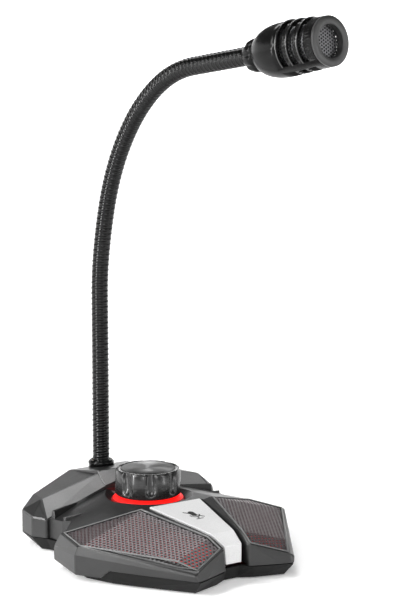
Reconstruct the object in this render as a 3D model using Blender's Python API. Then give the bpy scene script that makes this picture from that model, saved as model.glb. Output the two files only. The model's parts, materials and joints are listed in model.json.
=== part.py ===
"""Desktop gooseneck microphone: faceted base, volume knob in a light ring, mute plate, wound neck, slotted head.

Lengths below are millimetres in the base frame: the knob's axis is x = 0, y = 0, +Y points to the rear, and z = 0
is the underside of the lower shell. The `base_origin` empty carries everything into the part's own frame.
"""

import math

import bmesh
import bpy
from mathutils import Matrix, Vector

MM = 0.001
GAP = 0.3

# Placement: the feet lift the shells off the desk, and the shift centres the part's box over its origin.
FOOT_STANDOFF = 0.8
CENTRE_SHIFT_Y = 27.27

# Shells
WALL = 2.0
SEAM_Z = 6.0
FLOOR = 2.0
EDGE_ROUND = 0.45
CAVITY_CEILING = 12.4
TRIM_Z = 4.6
SKIRT_Z = 2.4
STEP_UPPER_Y = -43.4
STEP_LOWER_Y = -38.9

# Wing facets, right side: outer corners of the grille field on the shell's top.
WING = {
    "inner_rear": (18.5, -24.0, 23.8),
    "outer_rear": (49.1, -9.5, 14.7),
    "outer_front": (53.0, -30.4, 14.7),
    "fold_end": (28.7, -66.5, 13.0),
    "front_outer": (23.3, -74.4, 10.2),
    "front_inner": (7.3, -68.5, 15.2),
    "fold_inner": (8.3, -60.6, 18.8),
}
WING_OUTLINE = ("inner_rear", "fold_inner", "front_inner", "front_outer", "outer_front", "outer_rear")
WING_FACETS = (
    ("inner_rear", "outer_front", "outer_rear"),
    ("inner_rear", "fold_inner", "outer_front"),
    ("fold_inner", "front_inner", "fold_end"),
)
RIM = 0.8

# Grille panels and the red diffusers under them
WINDOW_INSET = 0.9
LEDGE_INSET = 2.4
LEDGE_DEPTH = 1.4
GRILLE_DEPTH = 0.35
GRILLE_THICKNESS = 0.7
DIFFUSER_THICKNESS = 0.8

# Rear hood: a sloping strip in front, two low roofs behind it and a raised centre block.
STRIP_FRONT_Y = 16.7
STRIP_BACK_Y = 22.5
STRIP_FRONT_Z = 27.2
STRIP_RISE = 4.9
STRIP_SLOPE = 0.25
BLOCK_HALF_WIDTH = 12.8
BLOCK_TOP_Z = 30.3
ROOF_REAR = (15.5, 44.5, 26.6)
ROOF_SIDE = (40.5, 33.5, 21.1)
HOOD_CORNERS = (
    (44.4, 20.3, 19.1),
    (48.8, 19.4, 14.9),
    (44.9, 13.2, 14.5),
    (48.2, 30.0, 15.8),
    (42.0, 37.0, 15.2),
    (18.0, 52.0, 16.0),
)

# Deck between the hood and the wings
DECK_Z = 27.1
DECK_SLOPE_X = -0.266
DECK_SLOPE_Y = -0.066
DECK_CAP_Z = 23.0
DECK_OUTLINE = ((0, -21.8), (13.6, -21.8), (14.2, -23.6), (17.5, -24.5), (48.6, -9.8), (40.2, -1), (42.3, 3.5), (42.9, 11), (44, 17.5), (0, 17.5))
RIBS = (
    ((24.0, 16.2, 19.8), (42.6, 11.4, 18.6), 3.2),
    ((28.3, 0.0, 19.1), (41.6, 3.2, 17.2), 2.8),
)

# Knob, light ring and potentiometer
KNOB_RADIUS = 14.75
KNOB_BOTTOM_Z = 23.0
KNOB_HEIGHT = 11.6
KNOB_FLUTES = 8
FLUTE_RADIUS = 3.7
FLUTE_OFFSET = 2.2
FLUTE_FLOOR = 4.6
FLUTE_PHASE_DEG = 18.0
CAP_RADIUS = 12.2
CAP_THICKNESS = 0.9
RING_OUTER = 16.6
RING_INNER = 12.6
RING_CREST = 14.2
RING_TOP_Z = 20.8
RING_BOTTOM_Z = 19.2
RECESS_RADIUS = 20.6
RECESS_TOP_Z = 23.2
SHAFT_RADIUS = 3.0
NUT_RADIUS = 5.5
LOCK_NUT_RADIUS = 7.6

# Mute plate and its switch
PLATE_PROFILE = ((-22.1, 23.4), (-58.5, 18.9), (-66.5, 15.2), (-67.0, 7.3))
PLATE_HALF_WIDTHS = (13.2, 5.9, 4.4, 4.0)
PLATE_THICKNESS = 2.2
SWITCH_Y = -45.0
SWITCH_PLUNGER_TOP = 17.5

# Lower shell: right side outline at the seam, and the smaller outline of its underside, corner by corner
TRAY_OUTLINE = (
    (3.8, -66.8), (7.8, -71.2), (23.5, -77.2), (45.2, -43.6), (49.4, -34.0), (51.6, -28.6), (50.0, -10.6),
    (40.2, -1.0), (42.3, 5.0), (44.9, 13.2), (48.8, 19.4), (48.2, 30.0), (42.0, 37.0), (18.0, 52.0),
)
TRAY_FOOT = (
    (3.2, -64.4), (9.4, -67.9), (22.6, -71.9), (37.6, -51.6), (43.9, -42.2), (49.2, -29.6), (47.4, -12.6),
    (38.2, -3.4), (39.6, 6.4), (42.0, 14.2), (44.6, 18.2), (39.4, 30.0), (33.0, 37.0), (15.0, 47.0),
)

# Gooseneck: a straight run and six arcs; each run turns by its own angle, and the last one ends straight.
NECK_Y = 41.3
NECK_YAW_DEG = 6.6
NECK_RADIUS = 4.0
NECK_START_Z = 30.6
NECK_STRAIGHT = 76.9
NECK_ARC = 22.0
NECK_TURNS_DEG = (9.0, 6.0, 12.0, 13.0, 17.0, 26.0)
NECK_END_STRAIGHT = 39.1
LEAN_RELIEF_DEG = 21.0
BEND_RELIEF_DEG = 7.0
COLLAR_RADIUS = 6.0
COLLAR_BORE = 4.4
COLLAR_BOTTOM_Z = 26.6
COLLAR_TOP_Z = 30.2

# Head, along its own axis from the nut's rear end
NUT_LENGTH = 8.8
HEAD_LENGTH = 38.6
HEAD_REAR_RADIUS = 11.0
HEAD_FRONT_RADIUS = 9.95
HEAD_WALL = 1.3
FRONT_OPENING = 6.6
SLOT_WIDTH = 3.5
SLOT_PITCH = 5.65
FIRST_SLOT = 27.0
SLOT_ARCS_DEG = ((-136.0, 136.0), (156.0, 204.0))

# Board, ballast, feet and screws
BOARD_Z = 8.4
BOARD_THICKNESS = 1.6
BALLAST_THICKNESS = 3.2
FOOT_RADIUS = 5.5
FOOT_RECESS = 1.0
FEET = {"front_left": (-26.0, -50.0), "front_right": (26.0, -50.0), "rear_left": (-36.0, 31.0), "rear_right": (36.0, 31.0)}
SCREWS = {"front_left": (-12.6, -40.0), "front_right": (12.6, -40.0), "rear_left": (-22.0, 31.0), "rear_right": (22.0, 31.0)}
SCREW_RADIUS = 1.25
SCREW_HEAD_RADIUS = 2.6
SCREW_HEAD_HEIGHT = 1.6
BOSS_RADIUS = 2.9
BOSS_BOTTOM_Z = 6.6
GLAND_Z = 11.0
GLAND_RADIUS = 3.4

MATERIALS = {
    "shell_plastic": ((0.055, 0.055, 0.058), 0.42, 0.0),
    "tray_plastic": ((0.012, 0.012, 0.013), 0.55, 0.0),
    "grille_metal": ((0.45, 0.40, 0.41), 0.35, 0.9),
    "red_diffuser": ((0.45, 0.01, 0.01), 0.5, 0.0),
    "light_ring": ((0.9, 0.01, 0.01), 0.3, 0.0),
    "white_plate": ((0.82, 0.82, 0.82), 0.35, 0.0),
    "knob_black": ((0.03, 0.03, 0.032), 0.3, 0.0),
    "turned_metal": ((0.30, 0.30, 0.31), 0.28, 0.9),
    "steel": ((0.55, 0.55, 0.56), 0.35, 1.0),
    "brass": ((0.75, 0.58, 0.28), 0.35, 1.0),
    "circuit_board": ((0.02, 0.14, 0.05), 0.5, 0.0),
    "rubber": ((0.02, 0.02, 0.02), 0.85, 0.0),
    "neck_metal": ((0.02, 0.02, 0.022), 0.3, 0.6),
    "head_plastic": ((0.025, 0.025, 0.027), 0.35, 0.0),
    "ring_grey": ((0.10, 0.10, 0.105), 0.45, 0.0),
    "mesh_metal": ((0.35, 0.35, 0.36), 0.35, 0.9),
    "foam": ((0.01, 0.01, 0.01), 0.95, 0.0),
    "capsule_metal": ((0.6, 0.6, 0.6), 0.3, 1.0),
}

made_materials = {}


# ---------------------------------------------------------------- objects and materials


def clear_scene():
    for thing in list(bpy.data.objects):
        bpy.data.objects.remove(thing, do_unlink=True)


def material(name):
    if name not in made_materials:
        colour, roughness, metallic = MATERIALS[name]
        made = bpy.data.materials.new(name)
        made.use_nodes = True
        shader = made.node_tree.nodes["Principled BSDF"]
        shader.inputs["Base Color"].default_value = (*colour, 1.0)
        shader.inputs["Roughness"].default_value = roughness
        shader.inputs["Metallic"].default_value = metallic
        made_materials[name] = made
    return made_materials[name]


def add_empty(name, parent, location, rotation=None):
    empty = bpy.data.objects.new(name, None)
    bpy.context.scene.collection.objects.link(empty)
    empty.parent = parent
    turn = rotation.to_4x4() if rotation else Matrix.Identity(4)
    empty.matrix_local = Matrix.Translation(Vector(location) * MM) @ turn
    return empty


def add_piece(name, bm, finish, parent, location=(0, 0, 0), smooth_deg=None):
    """Turn a bmesh in millimetres into a named object in metres."""
    bmesh.ops.recalc_face_normals(bm, faces=bm.faces)
    bmesh.ops.scale(bm, vec=(MM, MM, MM), verts=bm.verts)
    mesh = bpy.data.meshes.new(name)
    bm.to_mesh(mesh)
    bm.free()
    piece = bpy.data.objects.new(name, mesh)
    bpy.context.scene.collection.objects.link(piece)
    piece.parent = parent
    piece.location = Vector(location) * MM
    if finish:
        mesh.materials.append(material(finish))
    if smooth_deg is not None:
        mesh.shade_smooth()
        mesh.set_sharp_from_angle(angle=math.radians(smooth_deg))
    return piece


def add_helper(name, bm, parent, location=(0, 0, 0)):
    """A shape that only feeds Boolean modifiers."""
    helper = add_piece(name, bm, None, parent, location)
    helper.hide_render = True
    helper.display_type = "WIRE"
    return helper


def combine(piece, helper, operation):
    step = piece.modifiers.new(f"{operation.lower()}_{helper.name}", "BOOLEAN")
    step.operation = operation
    step.solver = "EXACT"
    step.object = helper


def round_edges(piece, width=EDGE_ROUND, segments=1):
    bevel = piece.modifiers.new("edge_round", "BEVEL")
    bevel.width = width * MM
    bevel.segments = segments
    bevel.limit_method = "ANGLE"
    bevel.angle_limit = math.radians(12)


# ---------------------------------------------------------------- shape makers (millimetres)


def hull(points):
    bm = bmesh.new()
    for point in points:
        bm.verts.new(point)
    result = bmesh.ops.convex_hull(bm, input=bm.verts)
    inside = [v for v in result["geom_interior"] if isinstance(v, bmesh.types.BMVert)]
    bmesh.ops.delete(bm, geom=inside, context="VERTS")
    bmesh.ops.dissolve_limit(bm, angle_limit=math.radians(1.0), verts=bm.verts, edges=bm.edges)
    return bm


def clip(bm, point, normal):
    """Keep the side of the plane that its normal points away from, and close the cut."""
    bmesh.ops.bisect_plane(
        bm, geom=bm.verts[:] + bm.edges[:] + bm.faces[:], plane_co=point, plane_no=normal, clear_outer=True
    )
    bmesh.ops.holes_fill(bm, edges=[edge for edge in bm.edges if edge.is_boundary])


def shrunken_hull(points, thickness):
    """The convex body whose faces lie `thickness` inside the hull of the points."""
    outer = hull(points)
    outer.normal_update()
    bmesh.ops.recalc_face_normals(outer, faces=outer.faces)
    planes = [(face.calc_center_median() - face.normal * thickness, face.normal.copy()) for face in outer.faces]
    outer.free()
    inner = bmesh.new()
    bmesh.ops.create_cube(inner, size=400.0)
    for point, normal in planes:
        clip(inner, point, normal)
    return inner


def prism(outline, bottom, top):
    bm = bmesh.new()
    face = bm.faces.new([bm.verts.new((x, y, bottom)) for x, y in outline])
    raised = bmesh.ops.extrude_face_region(bm, geom=[face])["geom"]
    corners = [item for item in raised if isinstance(item, bmesh.types.BMVert)]
    bmesh.ops.translate(bm, vec=(0, 0, top - bottom), verts=corners)
    return bm


def tapered_prism(lower, upper, bottom, top):
    """Join two outlines of the same count at two heights."""
    bm = bmesh.new()
    low = [bm.verts.new((x, y, bottom)) for x, y in lower]
    high = [bm.verts.new((x, y, top)) for x, y in upper]
    bm.faces.new(low)
    bm.faces.new(high)
    for i in range(len(low)):
        j = (i + 1) % len(low)
        bm.faces.new((low[i], low[j], high[j], high[i]))
    return bm


def turned(profile, sides=40, closed=False):
    """Revolve (radius, z) points about Z. An open profile starts and ends on the axis."""
    bm = bmesh.new()
    rings = []
    for radius, z in profile:
        if radius < 1e-6:
            rings.append([bm.verts.new((0, 0, z))])
            continue
        angles = [2 * math.pi * k / sides for k in range(sides)]
        rings.append([bm.verts.new((radius * math.cos(a), radius * math.sin(a), z)) for a in angles])
    pairs = list(zip(rings, rings[1:]))
    if closed:
        pairs.append((rings[-1], rings[0]))
    for first, second in pairs:
        for k in range(sides):
            quad = [first[k % len(first)], first[(k + 1) % len(first)]]
            quad += [second[(k + 1) % len(second)], second[k % len(second)]]
            unique = list(dict.fromkeys(quad))
            if len(unique) > 2:
                bm.faces.new(unique)
    return bm


def disc(radius, bottom, top, sides=32, chamfer=0.0):
    if not chamfer:
        return turned([(0, bottom), (radius, bottom), (radius, top), (0, top)], sides)
    edge = radius - chamfer
    profile = [(0, bottom), (edge, bottom), (radius, bottom + chamfer), (radius, top - chamfer), (edge, top), (0, top)]
    return turned(profile, sides)


def tube(inner, outer, bottom, top, sides=40):
    return turned([(inner, bottom), (outer, bottom), (outer, top), (inner, top)], sides, closed=True)


def hex_nut(bore, radius, bottom, top):
    """A six-sided ring whose flats clear a shaft of radius `bore`."""
    return tube(bore / math.cos(math.pi / 6), radius, bottom, top, 6)


def box(size, centre):
    bm = bmesh.new()
    bmesh.ops.create_cube(bm, size=1.0)
    bmesh.ops.scale(bm, vec=size, verts=bm.verts)
    bmesh.ops.translate(bm, vec=centre, verts=bm.verts)
    return bm


def merged(*parts):
    """Put several bmeshes side by side in one."""
    whole = bmesh.new()
    for part in parts:
        mesh = bpy.data.meshes.new("piece")
        part.to_mesh(mesh)
        part.free()
        whole.from_mesh(mesh)
        bpy.data.meshes.remove(mesh)
    return whole


def mirrored(points):
    """The points and their reflections in the symmetry plane x = 0."""
    return [Vector(p) for p in points] + [Vector((-p[0], p[1], p[2])) for p in points]


def sided(points, side):
    return [Vector((p[0] * side, p[1], p[2])) for p in points]


def symmetric_outline(right):
    """Close a right-hand outline, running front to rear, with its mirror image."""
    return list(right) + [(-x, y) for x, y in reversed(right)]


def inset(outline, distance):
    """Move every side of a counter-clockwise plan outline inwards."""
    moved = []
    count = len(outline)
    for i in range(count):
        before, here, after = (Vector(outline[(i + k) % count]) for k in (-1, 0, 1))
        first, second = (here - before).normalized(), (after - here).normalized()
        normal_a, normal_b = Vector((-first.y, first.x)), Vector((-second.y, second.x))
        scale = distance / max(0.35, 1.0 + normal_a.dot(normal_b))
        moved.append(tuple(here + (normal_a + normal_b) * scale))
    return moved


# ---------------------------------------------------------------- wing surface


def wing_planes():
    """Upward (point, normal) planes of the right wing's three facets."""
    planes = []
    for names in WING_FACETS:
        a, b, c = (Vector(WING[name]) for name in names)
        normal = (b - a).cross(c - a).normalized()
        planes.append((a, normal if normal.z > 0 else -normal))
    return planes


def wing_height(x, y):
    heights = []
    for point, normal in wing_planes():
        heights.append(point.z - (normal.x * (x - point.x) + normal.y * (y - point.y)) / normal.z)
    return min(heights)


def wing_outline(distance):
    """Plan outline of the grille field, counter-clockwise, moved inwards by `distance`."""
    plan = [WING[name][:2] for name in reversed(WING_OUTLINE)]
    area = sum(a[0] * b[1] - b[0] * a[1] for a, b in zip(plan, plan[1:] + plan[:1]))
    if area < 0:
        plan.reverse()
    return inset(plan, distance)


def folded_sheet(side, distance, top_depth, thickness):
    """A sheet that follows the wing's facets, its top `top_depth` below them, as deep as `thickness`."""
    bm = prism(wing_outline(distance), -100.0, 100.0)
    for point, normal in wing_planes():
        clip(bm, point - Vector((0, 0, top_depth)), normal)
    lower = [face for face in bm.faces if face.normal.z < 0.2]
    bm.normal_update()
    bmesh.ops.recalc_face_normals(bm, faces=bm.faces)
    lower = [face for face in bm.faces if face.normal.z < 0.2]
    bmesh.ops.delete(bm, geom=lower, context="FACES")
    grown = bmesh.ops.extrude_face_region(bm, geom=bm.faces[:], use_keep_orig=True)["geom"]
    corners = [item for item in grown if isinstance(item, bmesh.types.BMVert)]
    bmesh.ops.translate(bm, vec=(0, 0, -thickness), verts=corners)
    if side < 0:
        bmesh.ops.scale(bm, vec=(-1, 1, 1), verts=bm.verts)
    return bm


def wing_points():
    """Corners of the right wing's solid: rim, chamfer, side walls and seam."""
    rim = [(x, y, wing_height(x, y)) for x, y in wing_outline(-RIM)]
    shoulder = [(14.0, -23.2, 23.0), (7.4, -59.4, 18.3), (5.8, -67.6, 15.0)]
    chamfer = [(55.0, -29.8, 11.0), (53.2, -8.3, 9.2), (25.3, -75.6, 8.4)]
    walls = [(55.0, -29.8, SKIRT_Z), (53.2, -8.3, SKIRT_Z + 0.9), (23.5, -77.5, SKIRT_Z), (5.8, -70.4, SKIRT_Z)]
    inner = [(14.0, -23.2, SKIRT_Z), (40.0, -3.0, SKIRT_Z)]
    return rim + shoulder + chamfer + walls + inner


def seam_cutters():
    """Room for the lower shell: its outline, and all of the nose in front of the slanted step in the seam."""
    tray = prism(inset(symmetric_outline(TRAY_OUTLINE), -GAP), -6.0, SEAM_Z)
    width, front = 70.0, -95.0
    step = [(STEP_UPPER_Y, SEAM_Z), (STEP_LOWER_Y, SKIRT_Z - 0.2), (STEP_LOWER_Y, -6.0), (front, -6.0), (front, SEAM_Z)]
    nose = hull([(x, y, z) for x in (-width, width) for y, z in step])
    return tray, nose


def strip_height(x, y):
    return STRIP_FRONT_Z - STRIP_SLOPE * abs(x) + STRIP_RISE * (y - STRIP_FRONT_Y) / (STRIP_BACK_Y - STRIP_FRONT_Y)


def hood_points():
    front = [(BLOCK_HALF_WIDTH, STRIP_FRONT_Y), (40.4, STRIP_FRONT_Y)]
    back = [(BLOCK_HALF_WIDTH, STRIP_BACK_Y), (42.3, STRIP_BACK_Y)]
    strip = [(x, y, strip_height(x, y)) for x, y in front + back]
    feet = [(x, y, TRIM_Z) for x, y, _ in HOOD_CORNERS[1:]]
    feet.append((40.4, 15.0, TRIM_Z))
    return strip + [ROOF_REAR, ROOF_SIDE] + list(HOOD_CORNERS) + feet


def block_points():
    front = [(BLOCK_HALF_WIDTH, STRIP_FRONT_Y, strip_height(BLOCK_HALF_WIDTH, STRIP_FRONT_Y))]
    top = [(BLOCK_HALF_WIDTH, STRIP_BACK_Y, BLOCK_TOP_Z), ROOF_REAR]
    feet = [(BLOCK_HALF_WIDTH, STRIP_FRONT_Y, TRIM_Z), (18.0, 52.0, TRIM_Z), (18.0, 52.0, 16.0)]
    return mirrored(front + top + feet) + [Vector((0, STRIP_FRONT_Y, STRIP_FRONT_Z))]


def deck_body(lowered, cap, outline):
    bm = prism(outline, TRIM_Z - lowered * 4.0, 60.0)
    for side in (1, -1):
        clip(bm, Vector((0, 0, DECK_Z - lowered)), Vector((-DECK_SLOPE_X * side, -DECK_SLOPE_Y, 1.0)).normalized())
    clip(bm, Vector((0, 0, cap)), Vector((0, 0, 1)))
    return bm


def rib_points(tip, end, width):
    x, y, z = end
    top = [(x, y + 0.4, z), (x - 0.6, y - 0.5, z - 0.1)]
    base = [(x + 0.5, y + width / 2, 11.0), (x - 0.5, y - width / 2, 11.0), (tip[0], tip[1], 12.0)]
    return top + base + [tip]


# ---------------------------------------------------------------- shells


def upper_shell_outside(shell, parent):
    for side, name in ((1, "right"), (-1, "left")):
        wing = add_helper(f"helper_wing_{name}", hull(sided(wing_points(), side)), parent)
        round_edges(wing)
        combine(shell, wing, "UNION")
        for k, (tip, end, width) in enumerate(RIBS):
            rib = add_helper(f"helper_rib_{name}_{k}", hull(sided(rib_points(tip, end, width), side)), parent)
            combine(shell, rib, "UNION")
    block = add_helper("helper_block", hull(block_points()), parent)
    round_edges(block)
    combine(shell, block, "UNION")
    deck = add_helper("helper_deck", deck_body(0.0, DECK_CAP_Z, symmetric_outline(DECK_OUTLINE)), parent)
    combine(shell, deck, "UNION")
    spine = [(14.6, -20.0, 20.4), (6.9, -57.4, 15.2), (5.2, -63.9, 12.4), (4.9, -64.2, TRIM_Z), (14.6, -20.0, TRIM_Z)]
    combine(shell, add_helper("helper_spine", hull(mirrored(spine)), parent), "UNION")
    for k, cutter in enumerate(seam_cutters()):
        combine(shell, add_helper(f"helper_seam_{k}", cutter, parent), "DIFFERENCE")


def upper_shell_inside(shell, parent):
    below = [(x, y, z - 8.0 if z <= SEAM_Z else z) for x, y, z in hood_points()]
    cavities = [shrunken_hull(mirrored(below), WALL)]
    for side in (1, -1):
        points = [(x, y, z - 8.0 if z <= SEAM_Z else z) for x, y, z in wing_points()]
        cavities.append(shrunken_hull(sided(points, side), WALL + 0.4))
    cavity_deck = ((0, -16), (10, -16), (34, -14), (36, -2), (38, 6), (38, 13), (34, 22), (0, 22))
    cavities.append(deck_body(WALL, RING_BOTTOM_Z - 1.7, symmetric_outline(cavity_deck)))
    spine = [(10.0, -14.0, 18.0), (5.0, -55.0, 12.9), (3.6, -61.4, 10.0), (3.6, -61.4, -2.0), (10.0, -14.0, -2.0)]
    cavities.append(hull(mirrored(spine)))
    joined = ((0, -60), (22, -60), (42, -31), (42, -9), (36, -2), (38, 6), (38, 26), (0, 30))
    cavities.append(prism(symmetric_outline(joined), -6.0, CAVITY_CEILING))
    for k, cavity in enumerate(cavities):
        combine(shell, add_helper(f"helper_cavity_{k}", cavity, parent), "DIFFERENCE")


def upper_shell_cuts(shell, parent):
    for side, name in ((1, "right"), (-1, "left")):
        window = folded_sheet(side, WINDOW_INSET, -4.0, 4.0 + LEDGE_DEPTH)
        combine(shell, add_helper(f"helper_window_{name}", window, parent), "DIFFERENCE")
        well = folded_sheet(side, LEDGE_INSET, -4.0, 4.0 + LEDGE_DEPTH + 4.5)
        combine(shell, add_helper(f"helper_well_{name}", well, parent), "DIFFERENCE")
    floor = RING_TOP_Z - 0.5
    dish = turned([(0, floor), (RING_OUTER + 0.4, floor), (RECESS_RADIUS, RECESS_TOP_Z), (0, RECESS_TOP_Z)], 48)
    clip(dish, Vector((0, STRIP_FRONT_Y - GAP, 0)), Vector((0, 1, 0)))
    combine(shell, add_helper("helper_dish", dish, parent), "DIFFERENCE")
    groove = tube(RING_INNER - GAP, RING_OUTER + GAP, RING_BOTTOM_Z - GAP, RECESS_TOP_Z, 48)
    combine(shell, add_helper("helper_ring_groove", groove, parent), "DIFFERENCE")
    combine(shell, add_helper("helper_shaft_hole", disc(SHAFT_RADIUS + 1.0, 5.0, 32.0, 32), parent), "DIFFERENCE")
    switch_hole = disc(2.0, 5.0, 26.0, 24)
    combine(shell, add_helper("helper_switch_hole", switch_hole, parent, (0, SWITCH_Y, 0)), "DIFFERENCE")


def boss_top(x, y):
    """Height inside the roof at which a screw boss ends."""
    return 17.6 if y < 0 else strip_height(x, STRIP_BACK_Y) - 1.6


def upper_shell_bosses(shell, parent):
    gland_hole = disc(GLAND_RADIUS + GAP, -5.3, 4.7, 23)
    bmesh.ops.rotate(gland_hole, matrix=Matrix.Rotation(math.pi / 2, 3, "X"), verts=gland_hole.verts)
    combine(shell, add_helper("helper_gland_hole", gland_hole, parent, (0, 52.0, GLAND_Z)), "DIFFERENCE")
    collar_seat = disc(COLLAR_RADIUS + 0.8, 18.2, COLLAR_BOTTOM_Z - 2 * GAP, 28)
    combine(shell, add_helper("helper_collar_seat", collar_seat, parent, (0, NECK_Y, 0)), "UNION")
    neck_hole, pocket, floor = NECK_RADIUS + GAP, COLLAR_RADIUS + GAP, COLLAR_BOTTOM_Z - GAP
    passage = turned([(0, 9.0), (neck_hole, 9.0), (neck_hole, floor), (pocket, floor), (pocket, 60), (0, 60)], 28)
    combine(shell, add_helper("helper_neck_passage", passage, parent, (0, NECK_Y, 0)), "DIFFERENCE")
    for name, (x, y) in SCREWS.items():
        boss = disc(BOSS_RADIUS, BOSS_BOTTOM_Z, boss_top(x, y), 20)
        combine(shell, add_helper(f"helper_boss_{name}", boss, parent, (x, y, 0)), "UNION")
        hole = disc(SCREW_RADIUS + GAP, 0.0, 14.5, 16)
        combine(shell, add_helper(f"helper_boss_hole_{name}", hole, parent, (x, y, 0)), "DIFFERENCE")


def build_upper_shell(parent):
    shell = add_piece("upper_shell", hull(mirrored(hood_points())), "shell_plastic", parent)
    round_edges(shell)
    upper_shell_outside(shell, parent)
    upper_shell_inside(shell, parent)
    upper_shell_bosses(shell, parent)
    upper_shell_cuts(shell, parent)


def build_lower_shell(parent):
    outline = symmetric_outline(TRAY_OUTLINE)
    top = SEAM_Z - GAP
    foot = symmetric_outline(TRAY_FOOT)
    tray = add_piece("lower_shell", tapered_prism(foot, outline, 0.0, top), "tray_plastic", parent)
    hollow = tapered_prism(inset(foot, WALL), inset(outline, WALL), FLOOR, top + 0.01)
    combine(tray, add_helper("helper_tray_hollow", hollow, parent), "DIFFERENCE")
    for name, (x, y) in FEET.items():
        seat = disc(FOOT_RADIUS + GAP, -3.0, FOOT_RECESS, 28)
        combine(tray, add_helper(f"helper_foot_seat_{name}", seat, parent, (x, y, 0)), "DIFFERENCE")
    for name, (x, y) in SCREWS.items():
        hole = turned([(0, -2), (SCREW_HEAD_RADIUS + GAP, -2), (SCREW_HEAD_RADIUS + GAP, 1.0), (SCREW_RADIUS + GAP, 1.0),
                       (SCREW_RADIUS + GAP, 8.0), (0, 8.0)], 20)
        sleeve = disc(BOSS_RADIUS, 1.0, top, 20)
        combine(tray, add_helper(f"helper_sleeve_{name}", sleeve, parent, (x, y, 0)), "UNION")
        combine(tray, add_helper(f"helper_screw_hole_{name}", hole, parent, (x, y, 0)), "DIFFERENCE")


# ---------------------------------------------------------------- base fittings


def build_grilles(parent):
    for side, name in ((1, "right"), (-1, "left")):
        panel = folded_sheet(side, WINDOW_INSET + GAP, GRILLE_DEPTH, GRILLE_THICKNESS)
        add_piece(f"{name}_grille", panel, "grille_metal", parent)
        depth = LEDGE_DEPTH + GAP
        sheet = folded_sheet(side, LEDGE_INSET + GAP, depth, DIFFUSER_THICKNESS)
        add_piece(f"{name}_diffuser", sheet, "red_diffuser", parent)


def build_mute_plate(parent):
    """A tapering bent plate: its top runs forward and down, and its front wall closes the nose."""
    anchor = add_empty("mute_button_origin", parent, (0, SWITCH_Y, PLATE_PROFILE[0][1]))
    (y0, z0), (y1, z1), (y2, z2), (y3, z3) = PLATE_PROFILE
    t = PLATE_THICKNESS
    inner = [(y0, z0 - t), (y1 + 0.8, z1 - t), (y2 + t, z2 - t + 0.3), (y3 + t, z3)]
    widths = list(PLATE_HALF_WIDTHS)
    bm = bmesh.new()
    grid = []
    for points in (PLATE_PROFILE, inner):
        for side in (-1, 1):
            grid.append([bm.verts.new((side * w, y, z)) for (y, z), w in zip(points, widths)])
    top_left, top_right, low_left, low_right = grid
    for k in range(3):
        bm.faces.new((top_left[k], top_right[k], top_right[k + 1], top_left[k + 1]))
        bm.faces.new((low_left[k], low_right[k], low_right[k + 1], low_left[k + 1]))
        bm.faces.new((top_left[k], top_left[k + 1], low_left[k + 1], low_left[k]))
        bm.faces.new((top_right[k], top_right[k + 1], low_right[k + 1], low_right[k]))
    for k in (0, 3):
        bm.faces.new((top_left[k], top_right[k], low_right[k], low_left[k]))
    bmesh.ops.translate(bm, vec=(0, -SWITCH_Y, -PLATE_PROFILE[0][1]), verts=bm.verts)
    plate = add_piece("mute_plate", bm, "white_plate", anchor)
    round_edges(plate, 0.35, 2)
    body = box((6.0, 6.0, 2.6), (0, 0, 11.6))
    switch = add_piece("mute_switch", body, "tray_plastic", parent, (0, SWITCH_Y, 0))
    plunger = disc(1.5, 12.0, SWITCH_PLUNGER_TOP, 20)
    combine(switch, add_helper("helper_plunger", plunger, parent, (0, SWITCH_Y, 0)), "UNION")


def build_light_ring(parent):
    crest = KNOB_BOTTOM_Z - GAP
    ring = turned([(RING_INNER, RING_BOTTOM_Z), (RING_OUTER, RING_BOTTOM_Z), (RING_OUTER, RING_TOP_Z - 0.3),
                   (RING_OUTER - 0.3, RING_TOP_Z), (RING_CREST, crest), (RING_INNER, crest)], 48, closed=True)
    add_piece("light_ring", ring, "light_ring", parent, smooth_deg=35)


def flute_cutters():
    """Vertical round-bottomed grooves around the knob's side."""
    parts = []
    for k in range(KNOB_FLUTES):
        angle = math.radians(FLUTE_PHASE_DEG) + 2 * math.pi * k / KNOB_FLUTES
        reach = KNOB_RADIUS + FLUTE_OFFSET
        dome = [(FLUTE_RADIUS * math.sin(a), FLUTE_FLOOR - FLUTE_RADIUS * math.cos(a))
                for a in (0.0, math.pi / 8, math.pi / 4, 3 * math.pi / 8, math.pi / 2)]
        cutter = turned(dome + [(FLUTE_RADIUS, KNOB_HEIGHT + 3), (0, KNOB_HEIGHT + 3)], 24)
        bmesh.ops.translate(cutter, vec=(reach * math.cos(angle), reach * math.sin(angle), 0), verts=cutter.verts)
        parts.append(cutter)
    return merged(*parts)


def build_knob(parent):
    anchor = add_empty("knob_axis", parent, (0, 0, KNOB_BOTTOM_Z))
    top, bore = KNOB_HEIGHT, SHAFT_RADIUS + GAP
    seat = top - CAP_THICKNESS - GAP
    profile = [(0, seat), (CAP_RADIUS + GAP, seat), (CAP_RADIUS + GAP, top), (KNOB_RADIUS - 0.9, top),
               (KNOB_RADIUS, top - 0.9), (KNOB_RADIUS, 0.5), (KNOB_RADIUS - 0.5, 0), (12.6, 0), (12.6, 6.8),
               (5.6, 6.8), (5.6, 0.7), (bore, 0.7), (bore, 8.6), (0, 8.6)]
    knob = add_piece("knob", turned(profile, 56), "knob_black", anchor, smooth_deg=30)
    combine(knob, add_helper("helper_flutes", flute_cutters(), anchor), "DIFFERENCE")
    add_piece("knob_cap", disc(CAP_RADIUS, top - CAP_THICKNESS, top, 48, 0.2), "turned_metal", anchor)
    shaft = disc(SHAFT_RADIUS, 15.0 - KNOB_BOTTOM_Z, 8.2, 24, 0.4)
    add_piece("pot_shaft", shaft, "steel", anchor)


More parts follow.
